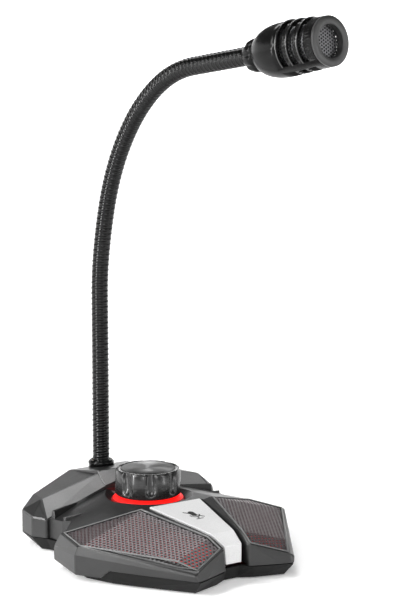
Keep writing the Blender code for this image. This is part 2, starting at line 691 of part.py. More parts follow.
def build_potentiometer(parent):
    bore = SHAFT_RADIUS + GAP
    body = turned([(0, 10.3), (8.0, 10.3), (8.0, 16.6), (bore, 16.6), (bore, 14.5), (0, 14.5)], 32)
    add_piece("pot_body", body, "steel", parent, smooth_deg=35)
    add_piece("pot_nut", hex_nut(bore, NUT_RADIUS, RING_TOP_Z - 0.2, RING_TOP_Z + 1.6), "steel", parent)


def build_boards(parent):
    board = box((60.0, 58.0, BOARD_THICKNESS), (0, -9.0, BOARD_Z + BOARD_THICKNESS / 2))
    main = add_piece("main_board", board, "circuit_board", parent)
    for name, (x, y) in SCREWS.items():
        hole = disc(BOSS_RADIUS + GAP, 0.0, 20.0, 16)
        combine(main, add_helper(f"helper_board_hole_{name}", hole, parent, (x, y, 0)), "DIFFERENCE")
    add_piece("ring_light_board", tube(8.6, 15.6, 14.4, 15.6, 40), "circuit_board", parent)


def build_ballast(parent):
    plan = inset(symmetric_outline(((6.0, -56.0), (22.0, -58.0), (37.0, -30.0), (33.0, -6.0), (33.0, 22.0))), 0.0)
    plate = add_piece("ballast_plate", prism(plan, FLOOR + GAP, FLOOR + GAP + BALLAST_THICKNESS), "steel", parent)
    for name, (x, y) in SCREWS.items():
        hole = disc(BOSS_RADIUS + GAP, 0.0, 20.0, 16)
        combine(plate, add_helper(f"helper_ballast_hole_{name}", hole, parent, (x, y, 0)), "DIFFERENCE")


def build_feet(parent):
    for name, (x, y) in FEET.items():
        pad = disc(FOOT_RADIUS, -FOOT_STANDOFF, FOOT_RECESS - GAP, 28, 0.3)
        add_piece(f"foot_{name}", pad, "rubber", parent, (x, y, 0))


def build_screws(parent):
    for name, (x, y) in SCREWS.items():
        head = 1.0 - GAP
        profile = [(0, head - SCREW_HEAD_HEIGHT + 0.9), (SCREW_HEAD_RADIUS, head - SCREW_HEAD_HEIGHT + 0.9),
                   (SCREW_HEAD_RADIUS, head), (SCREW_RADIUS, head), (SCREW_RADIUS, 13.0), (0, 14.2)]
        add_piece(f"case_screw_{name}", turned(profile, 16), "steel", parent, (x, y, 0))


def build_gland(parent):
    bore = 2.0
    profile = [(bore, -4.0), (GLAND_RADIUS + 1.2, -4.0), (GLAND_RADIUS + 1.2, -2.3), (GLAND_RADIUS, -2.3),
               (GLAND_RADIUS, 0.3), (GLAND_RADIUS + 1.2, 0.3), (GLAND_RADIUS + 0.9, 1.4), (bore, 1.8)]
    gland = turned(profile, 28, closed=True)
    bmesh.ops.rotate(gland, matrix=Matrix.Rotation(-math.pi / 2, 3, "X"), verts=gland.verts)
    add_piece("cable_gland", gland, "rubber", parent, (0, 52.0, GLAND_Z), smooth_deg=35)


# ---------------------------------------------------------------- gooseneck


def build_collar(parent):
    low, high, lip = COLLAR_BOTTOM_Z, COLLAR_TOP_Z, 0.8
    profile = [(COLLAR_BORE, low), (COLLAR_RADIUS - 0.2, low), (COLLAR_RADIUS - 0.2, high - 1.9),
               (COLLAR_RADIUS, high - 1.6), (COLLAR_RADIUS, high - lip), (COLLAR_RADIUS - lip, high), (COLLAR_BORE, high)]
    add_piece("neck_collar", turned(profile, 48, closed=True), "head_plastic", parent, (0, NECK_Y, 0), smooth_deg=30)
    socket = disc(NECK_RADIUS - 0.05, 15.0, COLLAR_TOP_Z - GAP, 32)
    add_piece("neck_socket", socket, "brass", parent, (0, NECK_Y, 0), smooth_deg=30)
    nut = hex_nut(NECK_RADIUS + GAP, LOCK_NUT_RADIUS, 16.0, 17.7)
    add_piece("neck_lock_nut", nut, "steel", parent, (0, NECK_Y, 0))


def rod_frame(length, turn):
    """Position and direction angle along a run, in its own x (forward) and z (along) plane."""
    if abs(turn) < 1e-6:
        return lambda s: (0.0, s, 0.0)
    radius = length / turn
    return lambda s: (radius * (1 - math.cos(s / radius)), radius * math.sin(s / radius), s / radius)


def neck_rod(length, turn, tail, relief_start, relief_end, sides=20):
    """A round rod along one run with coned ends, so that it can tilt against its neighbours."""
    arc = rod_frame(length, turn)
    total = length + tail

    def station(s):
        if s <= length:
            return arc(s)
        x, z, angle = arc(length)
        return x + (s - length) * math.sin(angle), z + (s - length) * math.cos(angle), angle

    first = GAP / 2 + NECK_RADIUS * math.tan(relief_start)
    last = total - GAP / 2 - NECK_RADIUS * math.tan(relief_end)
    steps = 6
    stations = [first + (last - first) * k / steps for k in range(steps + 1)]
    bm = bmesh.new()
    rings = []
    for s in stations:
        x, z, angle = station(s)
        across = Vector((math.cos(angle), 0, -math.sin(angle)))
        ring = []
        for k in range(sides):
            a = 2 * math.pi * k / sides
            offset = across * (NECK_RADIUS * math.cos(a)) + Vector((0, NECK_RADIUS * math.sin(a), 0))
            ring.append(bm.verts.new(Vector((x, 0, z)) + offset))
        rings.append(ring)
    for low, high in zip(rings, rings[1:]):
        for k in range(sides):
            bm.faces.new((low[k], low[(k + 1) % sides], high[(k + 1) % sides], high[k]))
    for ring, s in ((rings[0], GAP / 2), (rings[-1], total - GAP / 2)):
        x, z, _ = station(s)
        tip = bm.verts.new((x, 0, z))
        for k in range(sides):
            bm.faces.new((ring[k], ring[(k + 1) % sides], tip))
    return bm


def build_neck(parent):
    """Chain of hinge empties; each run's local z follows the neck and local x is the way it curls."""
    yaw = math.radians(NECK_YAW_DEG) - math.pi / 2
    joint = add_empty("neck_joint_1", parent, (0, NECK_Y, NECK_START_Z), Matrix.Rotation(yaw, 3, "Z"))
    runs = [(NECK_STRAIGHT, 0.0)] + [(NECK_ARC, math.radians(turn)) for turn in NECK_TURNS_DEG]
    relief = math.radians(BEND_RELIEF_DEG)
    for number, (length, turn) in enumerate(runs, start=1):
        last = number == len(runs)
        tail = NECK_END_STRAIGHT if last else 0.0
        start_relief = math.radians(LEAN_RELIEF_DEG) if number == 1 else relief
        rod = neck_rod(length, turn, tail, start_relief, 0.0 if last else relief)
        add_piece(f"gooseneck_{number}", rod, "neck_metal", joint, smooth_deg=35)
        x, z, angle = rod_frame(length, turn)(length)
        turned_by = Matrix.Rotation(angle, 3, "Y")
        if last:
            end = Vector((x, 0, z)) + turned_by @ Vector((0, 0, tail))
            return add_empty("head_mount", joint, end, turned_by)
        joint = add_empty(f"neck_joint_{number + 1}", joint, (x, 0, z), turned_by)


# ---------------------------------------------------------------- head


def lobed(levels, lobes, sides=64):
    """Stacked cross-sections whose radius waves `lobes` times around: levels are (z, radius, wave depth)."""
    bm = bmesh.new()
    rings = []
    for z, radius, wave in levels:
        ring = []
        for k in range(sides):
            a = 2 * math.pi * k / sides
            r = radius - wave * max(0.0, math.cos(lobes * a)) ** 0.5
            ring.append(bm.verts.new((r * math.cos(a), r * math.sin(a), z)))
        rings.append(ring)
    for low, high in zip(rings, rings[1:]):
        for k in range(sides):
            bm.faces.new((low[k], low[(k + 1) % sides], high[(k + 1) % sides], high[k]))
    bm.faces.new(rings[0])
    bm.faces.new(rings[-1])
    return bm


def arc_block(inner, outer, bottom, top, start_deg, end_deg):
    """A ring sector, used to cut one slot."""
    steps = max(4, int((end_deg - start_deg) / 9))
    angles = [math.radians(start_deg + (end_deg - start_deg) * k / steps) for k in range(steps + 1)]
    plan = [(outer * math.cos(a), outer * math.sin(a)) for a in angles]
    plan += [(inner * math.cos(a), inner * math.sin(a)) for a in reversed(angles)]
    return prism(plan, bottom, top)


def slot_cutters():
    """Slots around the shell; angle 0 is the head's upper side, local -x."""
    parts = []
    for k in range(3):
        bottom = FIRST_SLOT + k * SLOT_PITCH
        for start, end in SLOT_ARCS_DEG:
            parts.append(arc_block(7.0, 14.0, bottom, bottom + SLOT_WIDTH, start + 180, end + 180))
    return merged(*parts)


def build_head(mount):
    start = NUT_LENGTH
    end = NUT_LENGTH + HEAD_LENGTH
    levels = [(0.15, 4.3, 0.0), (1.0, 4.9, 0.2), (2.2, 6.0, 0.4), (3.6, 6.6, 0.6), (5.6, 7.05, 0.8),
              (start - 0.15, 7.2, 0.8)]
    add_piece("head_nut", lobed(levels, 8), "head_plastic", mount, smooth_deg=40)

    rear, front, wall = HEAD_REAR_RADIUS, HEAD_FRONT_RADIUS, HEAD_WALL
    outside = [(7.1, start + GAP), (8.3, start + 1.6), (9.4, start + 3.8), (10.2, start + 6.2), (10.75, start + 9.0),
               (rear, start + 12.0), (rear, start + 15.0), (front, end - 1.6)]
    inside = [(front - wall, end - 1.6), (rear - wall - 0.1, start + 13.0), (8.6, start + 7.0), (6.0, start + 2.4),
              (0, start + 2.4)]
    shell = add_piece("head_shell", turned([(0, start + GAP)] + outside + inside, 48), "head_plastic", mount,
                      smooth_deg=30)
    combine(shell, add_helper("helper_slots", slot_cutters(), mount), "DIFFERENCE")

    ring = [(FRONT_OPENING, end - 2.9), (front - wall - GAP, end - 2.9), (front - wall - GAP, end - 1.3),
            (front, end - 1.3), (front, end - 0.5), (front - 0.5, end), (FRONT_OPENING + 0.3, end),
            (FRONT_OPENING, end - 0.3)]
    add_piece("head_front_ring", turned(ring, 48, closed=True), "ring_grey", mount, smooth_deg=30)
    add_piece("head_mesh_sleeve", tube(7.5, 8.1, start + 13.0, end - 3.3, 40), "mesh_metal", mount, smooth_deg=30)
    add_piece("front_mesh", disc(7.3, end - 3.9, end - 3.2, 40), "mesh_metal", mount)
    add_piece("wind_foam", disc(7.1, end - 8.8, end - 4.3, 28), "foam", mount)
    holder = tube(5.2, 7.1, start + 14.0, end - 9.2, 28)
    add_piece("capsule_holder", holder, "rubber", mount, smooth_deg=35)
    add_piece("capsule", disc(4.85, start + 21.5, end - 9.4, 28, 0.3), "capsule_metal", mount, smooth_deg=35)


def build():
    clear_scene()
    base = add_empty("base_origin", None, (0, CENTRE_SHIFT_Y, FOOT_STANDOFF))
    build_upper_shell(base)
    build_lower_shell(base)
    build_grilles(base)
    build_mute_plate(base)
    build_light_ring(base)
    build_knob(base)
    build_potentiometer(base)
    build_boards(base)
    build_ballast(base)
    build_feet(base)
    build_screws(base)
    build_gland(base)
    build_collar(base)
    build_head(build_neck(base))
    bpy.context.view_layer.update()


build()
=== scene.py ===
"""Looks of the desktop gooseneck microphone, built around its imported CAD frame."""
import json
import math

import bmesh
import bpy
import numpy as np
from mathutils import Matrix, Vector
from mathutils.bvhtree import BVHTree


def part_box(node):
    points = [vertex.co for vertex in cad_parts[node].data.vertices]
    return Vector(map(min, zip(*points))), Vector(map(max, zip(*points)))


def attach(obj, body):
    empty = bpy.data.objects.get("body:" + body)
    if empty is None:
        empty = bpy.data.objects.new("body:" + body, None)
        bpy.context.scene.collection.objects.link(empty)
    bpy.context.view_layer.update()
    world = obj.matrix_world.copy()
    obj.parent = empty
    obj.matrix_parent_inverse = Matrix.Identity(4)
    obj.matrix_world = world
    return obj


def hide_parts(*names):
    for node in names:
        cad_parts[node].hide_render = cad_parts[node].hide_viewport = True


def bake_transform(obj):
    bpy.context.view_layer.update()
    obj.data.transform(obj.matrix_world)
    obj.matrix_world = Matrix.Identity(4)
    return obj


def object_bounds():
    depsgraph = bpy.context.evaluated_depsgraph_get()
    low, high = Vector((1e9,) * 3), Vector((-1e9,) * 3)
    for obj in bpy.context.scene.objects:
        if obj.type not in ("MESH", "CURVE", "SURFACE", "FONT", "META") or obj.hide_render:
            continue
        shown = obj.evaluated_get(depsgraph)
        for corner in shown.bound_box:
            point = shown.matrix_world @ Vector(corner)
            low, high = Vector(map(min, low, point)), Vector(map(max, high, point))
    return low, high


# ---------------------------------------------------------------- sizes and places
# Lengths are in metres, written as millimetres times MM; angles are in degrees.

MM = 0.001

# Reading the frame
UPWARD = 0.5
SAME_FACET = 0.9995
OUTLINE_MITRE = 0.35

# Meshes: welding distances, and the angles below which an edge is shaded smooth
WELD = 0.002 * MM
DEGENERATE = 0.0001 * MM
CELL_WELD = 0.02
SHEET_SMOOTH = 30.0
ROUND_SMOOTH = 32.0
BEAD_SMOOTH = 50.0
WIRE_SMOOTH = 60.0

# Round CAD nodes that get a smooth copy: node, body, slot
ROUND_NODES = (
    ("head_shell", "head", "head_plastic"),
    ("head_nut", "head", "head_plastic"),
    ("head_front_ring", "head", "ring_grey"),
    ("knob", "volume_knob", "knob_black"),
    ("light_ring", "base", "light_ring"),
    ("neck_collar", "base", "head_plastic"),
)

# Perforated grilles and the bead around them
GRILLE_PITCH_X = 1.79 * MM
GRILLE_PITCH_Y = 1.575 * MM
GRILLE_HOLE = 0.62 * MM
GRILLE_SHEET = 0.6 * MM
BEAD_OUT = 0.75 * MM
BEAD_RISE = 0.3 * MM
BEAD_RADIUS = 0.36 * MM
BEAD_STEP = 4.0 * MM
BEAD_SIDES = 10
BEAD_MITRE = 0.5

# Lighter grey layer on the hood's sloping strip
STRIP_FACING = (0.0, -0.645, 0.764)
STRIP_MATCH = 0.955
STRIP_ABOVE = 0.42
STRIP_FLAT = 2.0
STRIP_LAYER = 0.05 * MM

# Gooseneck: a round wire and a wedge wire share each pitch of the winding
NECK_PIECES = 7
NECK_PITCH = 2.5 * MM
NECK_SIDES = 28
NECK_CREST = 4.0 * MM
NECK_VALLEY = 3.7 * MM
NECK_WEDGE = 3.88 * MM
ROUND_SHARE = 0.56
ROUND_SAMPLES = 7
WEDGE_SAMPLES = 5
NECK_SAMPLES = ROUND_SAMPLES + WEDGE_SAMPLES
NECK_PHASES = [ROUND_SHARE * (1 - math.cos(math.pi * k / ROUND_SAMPLES)) / 2
               for k in range(ROUND_SAMPLES)]
NECK_PHASES += [ROUND_SHARE + (1 - ROUND_SHARE) * k / WEDGE_SAMPLES for k in range(WEDGE_SAMPLES)]
HINGE_SEARCH = 0.2 * MM
STRAIGHT = 1e-6

# Turned face of the knob
FACE_SIDES = 160
FACE_STEP = 0.06 * MM
FACE_LEAD = 4 * FACE_STEP
FACE_REACH = 4.0 * MM
FACE_BORDER = 0.45 * MM
FACE_HEIGHT = 0.1 * MM
FACE_LOOKDOWN = 1.0 * MM
# share of the radius, share of the height
FACE_RINGS = ((0.5, 1.0), (0.985, 1.0), (1.0, 0.5), (1.0, -1.0))

# Wire mesh of the head, and the lips of its slots
MESH_PITCH = 1.34 * MM
MESH_HOLE = 0.47 * MM
MESH_SHEET = 0.35 * MM
MESH_DISC_SIDES = 32
SLOT_COUNT = 3
SLOT_FIRST = 27.0 * MM
SLOT_PITCH = 5.65 * MM
SLOT_HALF_ARC = 136.0
SLOT_REACH = 0.25 * MM
LIP_RADIUS = 0.32 * MM
LIP_STEPS = 72
LIP_SIDES = 8

# Mute symbol
ICON_UNIT = 1.38 * MM
ICON_HEIGHT = 0.06 * MM
ICON_SIDE = -0.2 * MM
ICON_BACK = 0.335

# Glowing ring: radii between which its light fades out, with the strength at each
RING_GLOW_EDGE = (15.4 * MM, 16.1 * MM)
RING_GLOW_LEVEL = (1.3, 0.02)

# Stage
FLOOR_RADIUS = 14.0
FLOOR_SEGMENTS = 96
FLOOR_FADE = (0.2, 1.2)
FLOOR_GLOW = 0.22
WALL_HEIGHT = 4.0
WORLD_LEVEL = 0.1
# name, direction from the object, distance, size in metres, light level at the object
LIGHTS = (
    ("front_left", (-0.55, -0.68, 0.48), 1.1, (0.5, 0.4), 1.4),
    ("top_back", (0.10, 0.42, 0.90), 1.0, (0.4, 0.3), 1.9),
    ("left_strip", (-1.0, 0.04, 0.30), 0.9, (0.09, 1.0), 5.5),
    ("front_strip", (0.44, -0.90, 0.30), 0.9, (0.06, 0.9), 0.8),
)
CAMERA_SENSOR = 36.0
CAMERA_LENS = 95.84
CAMERA_CLIP = 0.01
CAMERA_AZIMUTH = -34.1
CAMERA_PITCH = 8.0
CAMERA_PLACE = (-0.3738, -0.5670, 0.2098)

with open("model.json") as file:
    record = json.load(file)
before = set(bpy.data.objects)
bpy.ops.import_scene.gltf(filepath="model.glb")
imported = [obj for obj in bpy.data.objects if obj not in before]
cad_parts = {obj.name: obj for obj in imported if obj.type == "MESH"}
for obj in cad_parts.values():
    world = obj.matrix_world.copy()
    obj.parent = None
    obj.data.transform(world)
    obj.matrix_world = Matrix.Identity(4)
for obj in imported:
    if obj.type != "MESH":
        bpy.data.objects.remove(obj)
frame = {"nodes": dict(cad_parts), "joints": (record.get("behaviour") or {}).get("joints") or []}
cad_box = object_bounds()


# ---------------------------------------------------------------- reading the frame


def corners(node):
    """World coordinates of a CAD node's vertices."""
    return np.array([v.co for v in frame["nodes"][node].data.vertices], float)


def joint_point(name):
    return Vector(next(j["pos_m"] for j in frame["joints"] if j["name"] == name))


def joint_axis(name):
    axis = next(j["axis"] for j in frame["joints"] if j["name"] == name)
    return Vector(axis).normalized()


def box_centre(node):
    low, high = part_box(node)
    return (Vector(low) + Vector(high)) / 2


def upward_planes(node):
    """Distinct (point, normal) planes of a node's upper faces."""
    planes = []
    for face in frame["nodes"][node].data.polygons:
        if face.normal.z < UPWARD:
            continue
        known = any(normal.dot(face.normal) > SAME_FACET for _, normal in planes)
        if not known:
            planes.append((face.center.copy(), face.normal.copy()))
    return planes


def surface_height(planes, x, y):
    """Height of the lowest of the planes above a point of the plan."""
    return min(p.z - (n.x * (x - p.x) + n.y * (y - p.y)) / n.z for p, n in planes)


def plan_outline(node):
    """Convex plan outline of a node, counter-clockwise."""
    points = sorted({(round(x, 6), round(y, 6)) for x, y, _ in corners(node)})

    def turn(a, b, c):
        return (b[0] - a[0]) * (c[1] - a[1]) - (b[1] - a[1]) * (c[0] - a[0])

    def half(sequence):
        chain = []
        for p in sequence:
            while len(chain) > 1 and turn(chain[-2], chain[-1], p) <= 1e-9:
                chain.pop()
            chain.append(p)
        return chain[:-1]

    return half(points) + half(points[::-1])


def offset_outline(outline, distance):
    """The outline moved inwards by `distance` (outwards if negative)."""
    moved = []
    count = len(outline)
    for i in range(count):
        before, here, after = (Vector(outline[(i + k) % count]) for k in (-1, 0, 1))
        into = (here - before).normalized()
        out = (after - here).normalized()
        normal_in = Vector((-into.y, into.x))
        normal_out = Vector((-out.y, out.x))
        mitre = max(OUTLINE_MITRE, 1.0 + normal_in.dot(normal_out))
        moved.append(here + (normal_in + normal_out) * (distance / mitre))
    return moved


# ---------------------------------------------------------------- materials


class Shader:
    """A procedural material: helper methods add nodes and return their output sockets."""

    def __init__(self, name, **values):
        self.material = bpy.data.materials.new(name)
        self.material.use_nodes = True
        self.tree = self.material.node_tree
        self.principled = self.tree.nodes["Principled BSDF"]
        for socket, value in values.items():
            self.principled.inputs[socket.replace("_", " ")].default_value = value
        self.position = self.add("ShaderNodeTexCoord").outputs["Object"]

    def add(self, kind, **settings):
        node = self.tree.nodes.new(kind)
        for key, value in settings.items():
            setattr(node, key, value)
        return node

    def link(self, source, target):
        self.tree.links.new(source, target)

    def noise(self, scale, detail=3.0, stretch=(1, 1, 1)):
        mapping = self.add("ShaderNodeMapping")
        mapping.inputs["Scale"].default_value = stretch
        self.link(self.position, mapping.inputs["Vector"])
        noise = self.add("ShaderNodeTexNoise")
        noise.inputs["Scale"].default_value = scale
        noise.inputs["Detail"].default_value = detail
        self.link(mapping.outputs["Vector"], noise.inputs["Vector"])
        return noise.outputs["Fac"]

    def spots(self, scale):
        cells = self.add("ShaderNodeTexVoronoi")
        cells.inputs["Scale"].default_value = scale
        self.link(self.position, cells.inputs["Vector"])
        return cells.outputs["Distance"]

    def from_axis(self, centre):
        """Offset from the vertical line through `centre`, and its length."""
        shift = self.add("ShaderNodeVectorMath", operation="SUBTRACT")
        shift.inputs[1].default_value = centre
        self.link(self.position, shift.inputs[0])
        flat = self.add("ShaderNodeVectorMath", operation="MULTIPLY")
        flat.inputs[1].default_value = (1, 1, 0)
        self.link(shift.outputs["Vector"], flat.inputs[0])
        radius = self.add("ShaderNodeVectorMath", operation="LENGTH")
        self.link(flat.outputs["Vector"], radius.inputs[0])
        return flat.outputs["Vector"], radius.outputs["Value"]

    def ramp(self, fac, *stops):
        """Colour ramp; stops are (position, grey level or colour)."""
        node = self.add("ShaderNodeValToRGB")
        ramp = node.color_ramp
        while len(ramp.elements) < len(stops):
            ramp.elements.new(0.5)
        for element, (place, colour) in zip(ramp.elements, stops):
            element.position = place
            level = (colour,) * 3 if isinstance(colour, (int, float)) else colour
            element.color = (*level, 1.0)
        self.link(fac, node.inputs["Fac"])
        return node.outputs["Color"]

    def spread(self, fac, low, high):
        """Map a 0-1 value to the range low-high."""
        node = self.add("ShaderNodeMapRange")
        node.inputs["To Min"].default_value = low
        node.inputs["To Max"].default_value = high
        self.link(fac, node.inputs["Value"])
        return node.outputs["Result"]

    def fade(self, fac, start, end, low, high):
        """Map a value smoothly from the range start-end to the range low-high."""
        node = self.add("ShaderNodeMapRange", interpolation_type="SMOOTHSTEP")
        node.inputs["From Min"].default_value = start
        node.inputs["From Max"].default_value = end
        node.inputs["To Min"].default_value = low
        node.inputs["To Max"].default_value = high
        self.link(fac, node.inputs["Value"])
        return node.outputs["Result"]

    def darken(self, base, shade, share):
        """The base colour multiplied by a share of the shade."""
        node = self.add("ShaderNodeMix", data_type="RGBA", blend_type="MULTIPLY")
        node.inputs[0].default_value = share
        self.link(base, node.inputs[6])
        self.link(shade, node.inputs[7])
        return node.outputs[2]

    def colour(self, socket):
        self.link(socket, self.principled.inputs["Base Color"])

    def gloss(self, fac, low, high):
        self.link(self.spread(fac, low, high), self.principled.inputs["Roughness"])

    def bump(self, height, strength, distance):
        """Add relief on top of any bump already there."""
        node = self.add("ShaderNodeBump")
        node.inputs["Strength"].default_value = strength
        node.inputs["Distance"].default_value = distance
        normal = self.principled.inputs["Normal"]
        if normal.is_linked:
            self.link(normal.links[0].from_socket, node.inputs["Normal"])
        self.link(height, node.inputs["Height"])
        self.link(node.outputs["Normal"], normal)


def moulded(name, dark, light, rough, grain=2600.0, specular=0.5, depth=0.06 * MM, coat=0.0):
    """Moulded plastic: fine spark-eroded grain, slow colour drift and small pits."""
    shader = Shader(name, Specular_IOR_Level=specular, Coat_Weight=coat)
    drift = shader.noise(scale=38.0, detail=4.0)
    speckle = shader.noise(scale=grain, detail=2.0)
    tone = shader.ramp(drift, (0.3, dark), (0.7, light))
    fleck = shader.ramp(speckle, (0.35, 0.72), (0.65, 1.0))
    shader.colour(shader.darken(tone, fleck, share=0.55))
    shader.gloss(shader.noise(scale=150.0, detail=5.0), *rough)
    shader.bump(speckle, strength=0.35, distance=depth)
    shader.bump(shader.spots(scale=900.0), strength=0.12, distance=depth)
    return shader.material


def metal(name, tone, rough, stretch=(1, 1, 1), scale=1400.0, metallic=1.0):
    """Metal with a brushed or tumbled finish."""
    shader = Shader(name, Metallic=metallic)
    brushed = shader.noise(scale=scale, detail=3.0, stretch=stretch)
    patches = shader.noise(scale=60.0, detail=4.0)
    base = shader.ramp(brushed, (0.25, [c * 0.78 for c in tone]), (0.75, tone))
    shade = shader.ramp(patches, (0.3, 0.8), (0.7, 1.0))
    shader.colour(shader.darken(base, shade, share=0.5))
    shader.gloss(brushed, *rough)
    shader.bump(brushed, strength=0.2, distance=0.02 * MM)
    return shader.material


def neck_finish():
    """Black-coated spring steel: glossy, with a slightly uneven film."""
    shader = Shader("neck_black_wire", Specular_IOR_Level=0.22)
    film = shader.noise(scale=320.0, detail=5.0)
    shader.colour(shader.ramp(film, (0.3, 0.001), (0.7, 0.004)))
    shader.gloss(shader.noise(scale=900.0), low=0.1, high=0.17)
    shader.bump(shader.noise(scale=2400.0, detail=2.0), strength=0.08, distance=0.01 * MM)
    return shader.material


def knob_side_finish():
    """Hard gloss black plastic with faint wiping marks."""
    shader = Shader("knob_gloss_black", Specular_IOR_Level=0.35, Coat_Weight=0.15,
                    Coat_Roughness=0.08)
    wiped = shader.noise(scale=180.0, detail=4.0, stretch=(1, 1, 7))
    shader.colour(shader.ramp(wiped, (0.3, 0.011), (0.7, 0.02)))
    shader.gloss(wiped, low=0.16, high=0.3)
    shader.bump(shader.noise(scale=2200.0, detail=2.0), strength=0.1, distance=0.02 * MM)
    return shader.material


def turned_finish(centre):
    """Lathe-turned disc: concentric grooves whose reflections open into sectors."""
    shader = Shader("knob_turned_disc", Metallic=1.0, Anisotropic=0.85)
    offset, radius = shader.from_axis(centre)
    grooves = shader.add("ShaderNodeTexNoise", noise_dimensions="1D")
    grooves.inputs["Scale"].default_value = 5200.0
    grooves.inputs["Detail"].default_value = 4.0
    shader.link(radius, grooves.inputs["W"])
    fine = grooves.outputs["Fac"]
    shader.colour(shader.ramp(fine, (0.3, 0.09), (0.7, 0.2)))
    shader.gloss(fine, low=0.3, high=0.42)
    shader.bump(fine, strength=0.16, distance=0.03 * MM)
    around = shader.add("ShaderNodeVectorMath", operation="CROSS_PRODUCT")
    around.inputs[0].default_value = (0, 0, 1)
    shader.link(offset, around.inputs[1])
    unit = shader.add("ShaderNodeVectorMath", operation="NORMALIZE")
    shader.link(around.outputs["Vector"], unit.inputs[0])
    shader.link(unit.outputs["Vector"], shader.principled.inputs["Tangent"])
    return shader.material


def lit_acrylic(name, base, light, strength, low, high):
    """Diffusing acrylic lit from behind, brighter in soft patches near its lamps."""
    shader = Shader(name, Roughness=0.45, Emission_Strength=strength)
    drift = shader.noise(scale=120.0, detail=2.0)
    shader.colour(shader.ramp(drift, (0.3, [c * 0.8 for c in base]), (0.7, base)))
    patches = shader.noise(scale=55.0, detail=2.0)
    dim, bright = [c * low for c in light], [c * high for c in light]
    shader.link(shader.ramp(patches, (0.25, dim), (0.75, bright)),
                shader.principled.inputs["Emission Color"])
    shader.bump(shader.noise(scale=1800.0, detail=2.0), strength=0.1, distance=0.03 * MM)
    return shader


def diffuser_glow():
    red = lit_acrylic("lit_red_diffuser", (0.5, 0.008, 0.008), (1.0, 0.012, 0.01),
                      strength=0.55, low=0.6, high=1.0)
    return red.material


def ring_glow(centre):
    """Acrylic ring: lit next to the knob, with an unlit outer border."""
    shader = lit_acrylic("lit_red_ring", (0.35, 0.004, 0.004), (1.0, 0.006, 0.004),
                         strength=RING_GLOW_LEVEL[0], low=0.85, high=1.0)
    _, radius = shader.from_axis(centre)
    strength = shader.fade(radius, *RING_GLOW_EDGE, *RING_GLOW_LEVEL)
    shader.link(strength, shader.principled.inputs["Emission Strength"])
    return shader.material


def open_foam():
    shader = Shader("open_cell_foam", Roughness=0.95)
    cells = shader.spots(scale=1300.0)
    shader.colour(shader.ramp(cells, (0.1, 0.004), (0.6, 0.022)))
    shader.bump(cells, strength=0.8, distance=0.3 * MM)
    return shader.material


def green_board():
    """Circuit board: tracks show as paler bands under the solder mask."""
    shader = Shader("solder_masked_board")
    tracks = shader.noise(scale=420.0, detail=1.0, stretch=(1, 0.12, 1))
    shader.colour(shader.ramp(tracks, (0.45, (0.006, 0.045, 0.018)), (0.52, (0.012, 0.09, 0.035))))
    shader.gloss(shader.noise(scale=300.0), low=0.3, high=0.5)
    shader.bump(tracks, strength=0.2, distance=0.05 * MM)
    return shader.material


MATERIALS = {
    "shell_plastic": moulded("shell_satin_grey", 0.010, 0.017, rough=(0.28, 0.4), specular=0.45),
    "tray_plastic": moulded("tray_matt_black", 0.004, 0.007, rough=(0.5, 0.65), grain=2200.0,
                            specular=0.2),
    "grille_metal": metal("perforated_steel", (0.15, 0.135, 0.14), rough=(0.34, 0.46),
                          stretch=(1, 4, 1), metallic=0.7),
    "red_diffuser": diffuser_glow(),
    "white_plate": moulded("plate_satin_white", 0.6, 0.66, rough=(0.3, 0.42), grain=3000.0,
                           depth=0.03 * MM),
    "light_ring": ring_glow(box_centre("light_ring")),
    "knob_black": knob_side_finish(),
    "turned_metal": turned_finish(box_centre("knob_cap")),
    "steel": metal("bright_steel", (0.5, 0.5, 0.52), rough=(0.25, 0.4)),
    "brass": metal("turned_brass", (0.62, 0.44, 0.2), rough=(0.25, 0.4), stretch=(1, 1, 0.1)),
    "circuit_board": green_board(),
    "rubber": moulded("foot_rubber", 0.008, 0.014, rough=(0.75, 0.9), grain=1500.0, specular=0.3,
                      depth=0.1 * MM),
    "neck_metal": neck_finish(),
    "head_plastic": moulded("head_gloss_black", 0.002, 0.004, rough=(0.2, 0.3), grain=3200.0,
                            specular=0.14, depth=0.02 * MM),
    "ring_grey": moulded("ring_satin_grey", 0.017, 0.026, rough=(0.34, 0.46), grain=2800.0,
                         depth=0.04 * MM),
    "mesh_metal": metal("woven_mesh_wire", (0.16, 0.16, 0.165), rough=(0.28, 0.4), scale=2400.0),
    "foam": open_foam(),
    "capsule_metal": metal("capsule_nickel", (0.55, 0.54, 0.5), rough=(0.2, 0.32)),
}
# Light grey of the bead around the grilles: a painted highlight along the grille edges
RIM_HIGHLIGHT_FINISH = moulded("rim_light_grey", 0.10, 0.14, rough=(0.3, 0.42), depth=0.04 * MM)
# Lighter copy of the mesh metal: painted highlights on the hole edges of the sleeve seen through
# the slots
SLEEVE_HIGHLIGHT_FINISH = metal("sleeve_wire_painted_highlight", (0.42, 0.42, 0.43), rough=(0.32, 0.46), scale=2400.0)
# Lighter grey for the faces of the hood's strip that face forward and up
STRIP_GREY_FINISH = moulded("trim_brushed_grey", 0.14, 0.19, rough=(0.34, 0.46), depth=0.04 * MM)
LIP_FINISH = moulded("lip_gloss_black", 0.008, 0.014, rough=(0.14, 0.22), grain=3200.0,
                     specular=0.8, depth=0.02 * MM, coat=0.2)
ICON_FINISH = moulded("icon_black_print", 0.012, 0.02, rough=(0.4, 0.5), grain=3000.0,
                      specular=0.3, depth=0.02 * MM)


def dress_frame():
    """Every CAD node keeps its shape and takes the finish of its slots."""
    for node in frame["nodes"].values():
        if node.type != "MESH":
            continue
        for slot in node.material_slots:
            name = slot.material.name.split(".")[0]
            slot.material = MATERIALS[name]


# ---------------------------------------------------------------- mesh helpers


